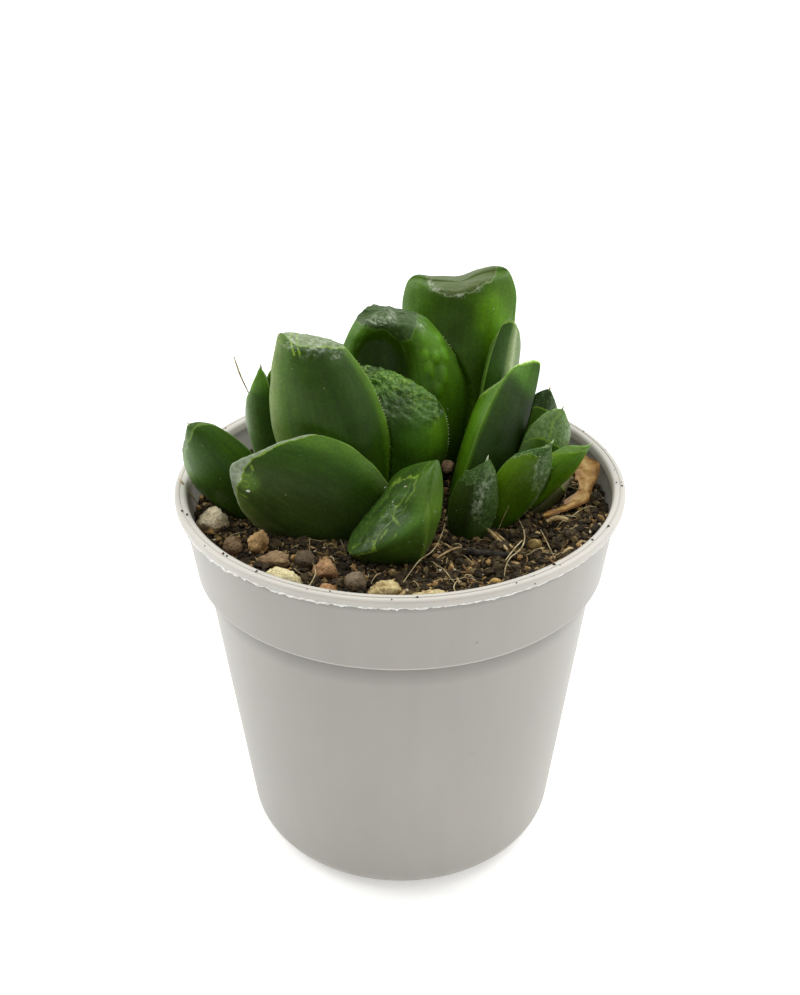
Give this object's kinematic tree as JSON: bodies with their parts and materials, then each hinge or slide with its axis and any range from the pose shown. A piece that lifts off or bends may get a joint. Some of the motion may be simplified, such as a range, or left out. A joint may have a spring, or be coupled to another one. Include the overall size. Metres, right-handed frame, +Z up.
{
  "type": "potted haworthia",
  "caption": "Small potted haworthia: blunt, thick, windowed green leaves in a rosette with side shoots, in a grey nursery pot filled with gritty soil.",
  "frame": {"origin": "centre of the pot's base, on the plane it stands on", "axes": "+Z up; -Y towards the viewer of the picture, +X to the viewer's right"},
  "size_m": [0.065, 0.065, 0.0823],
  "materials": {
    "pot": "satin",
    "leaf": "satin",
    "dry_leaf": "matte",
    "stem": "matte",
    "soil": "matte",
    "husk": "matte",
    "stick": "matte",
    "pumice_white": "matte",
    "pumice_yellow": "matte",
    "pebble_brown": "matte",
    "stone_tan": "matte",
    "stone_brown_wide": "matte",
    "clod_dark": "matte",
    "stone_orange": "matte",
    "stone_orange_small": "matte",
    "pebble_dark": "matte",
    "stone_yellow_tan": "matte",
    "stone_cream": "matte",
    "chip_yellow": "matte",
    "pebble_olive": "matte",
    "pebble_ball": "matte"
  },
  "bodies": {
    "root": {"pot": "pot", "leaf_tall_left": "leaf", "leaf_front_left": "leaf", "leaf_centre": "leaf", "leaf_upper": "leaf", "leaf_tallest": "leaf", "leaf_right": "leaf", "leaf_front": "leaf", "leaf_back_right": "leaf", "leaf_back_left": "leaf", "offset_left_leaf_1": "leaf", "offset_left_leaf_2": "leaf", "offset_left_leaf_3": "leaf", "offset_right_leaf_1": "leaf", "offset_right_leaf_2": "leaf", "offset_right_leaf_3": "leaf", "offset_right_leaf_4": "leaf", "offset_right_leaf_5": "leaf", "dying_leaf_tip": "dry_leaf", "stem": "stem", "soil": "soil", "husk": "husk", "stick": "stick", "pumice_white": "pumice_white", "pumice_yellow": "pumice_yellow", "pebble_brown": "pebble_brown", "stone_tan": "stone_tan", "stone_brown_wide": "stone_brown_wide", "clod_dark": "clod_dark", "stone_orange": "stone_orange", "stone_orange_small": "stone_orange_small", "pebble_dark": "pebble_dark", "stone_yellow_tan": "stone_yellow_tan", "stone_cream": "stone_cream", "chip_yellow": "chip_yellow", "pebble_olive": "pebble_olive", "pebble_ball": "pebble_ball"}
  },
  "joints": []
}
